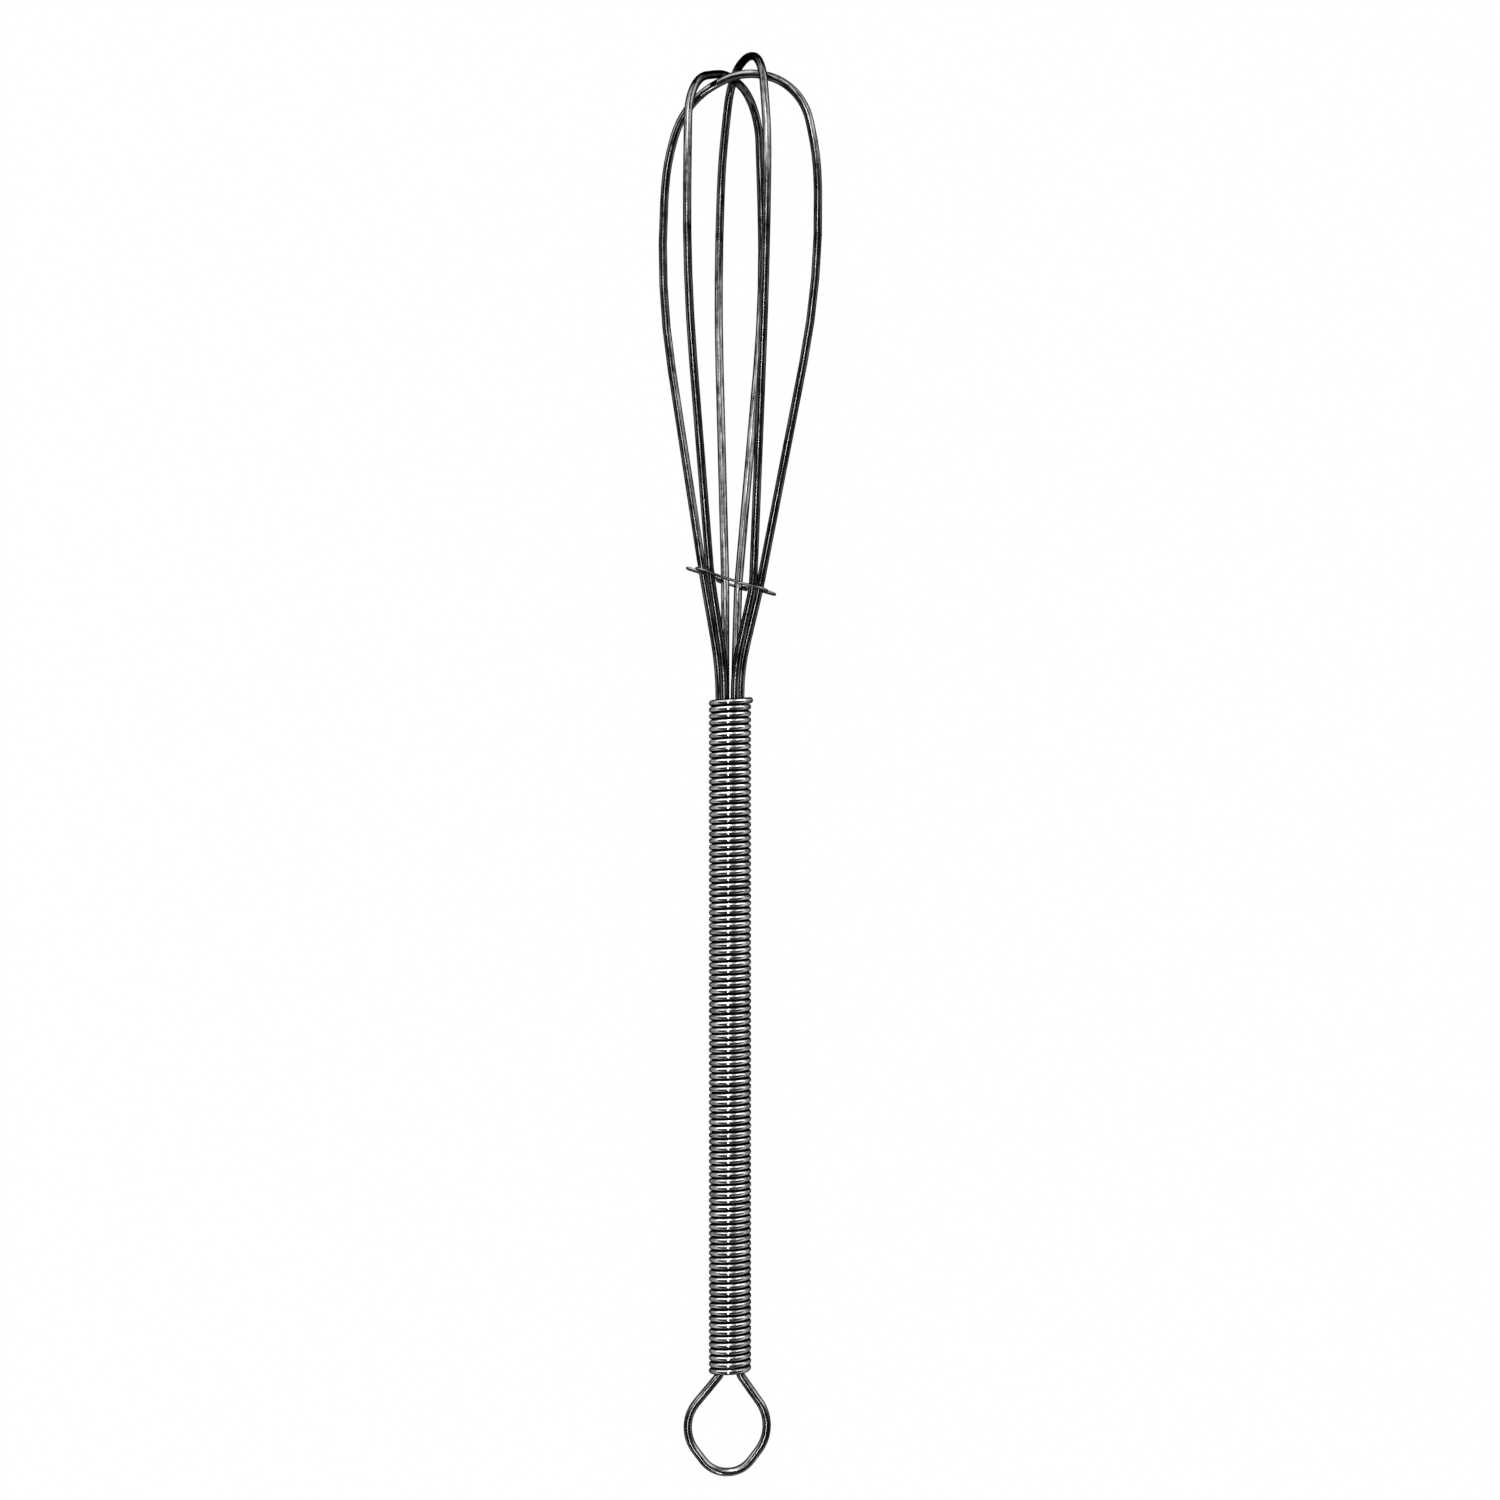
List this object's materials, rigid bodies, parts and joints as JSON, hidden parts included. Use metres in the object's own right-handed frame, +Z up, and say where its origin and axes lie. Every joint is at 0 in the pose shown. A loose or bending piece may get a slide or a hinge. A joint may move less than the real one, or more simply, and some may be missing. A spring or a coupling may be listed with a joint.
{
  "type": "balloon whisk",
  "caption": "Slim stainless steel balloon whisk with crossed wire loops, a close-wound coil handle, a thin binder wire and a hanging ring.",
  "frame": {"origin": "middle of the base of the whole whisk's box as it lies on a table, on its two lowest tines and the rim of its butt", "axes": "+Y along the whisk towards the tip of its loops, +Z up, +X to the right of someone who looks down on it with the tip away from them"},
  "size_m": [0.0226, 0.2, 0.0227],
  "materials": {
    "tine_steel": "polished drawn stainless wire",
    "coil_steel": "polished drawn stainless wire, close-wound",
    "ring_steel": "polished drawn stainless wire",
    "binder_steel": "bright thin stainless wire"
  },
  "bodies": {
    "root": {"tine_loop_low": "tine_steel", "tine_loop_mid": "tine_steel", "tine_loop_top": "tine_steel", "handle_coil": "coil_steel", "hanging_ring": "ring_steel", "tine_binder": "binder_steel"}
  },
  "joints": []
}
